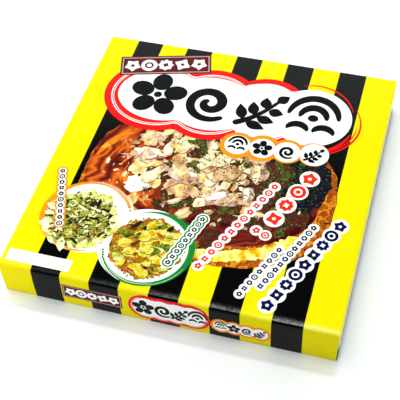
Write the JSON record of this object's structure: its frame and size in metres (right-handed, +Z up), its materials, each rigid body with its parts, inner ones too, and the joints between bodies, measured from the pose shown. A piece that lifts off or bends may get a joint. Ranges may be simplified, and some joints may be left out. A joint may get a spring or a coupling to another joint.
{
  "type": "shut rice-cracker gift carton",
  "caption": "Flat, nearly square printed carton, shut: a folded lid with a bellied front flap and short end flaps over a black board tray, holding packed rice crackers",
  "frame": {"origin": "middle of the outline's underside, on the surface that the carton rests on", "axes": "+X across the carton along its front edge, +Y from the front to the back, +Z up out of the printed top"},
  "size_m": [0.2528, 0.2584, 0.033],
  "materials": {
    "print": "glossy printed board, yellow and black stripes with colour fields",
    "black_board": "satin black board"
  },
  "bodies": {
    "root": {"lid": "print", "tray": "black_board"}
  },
  "joints": []
}
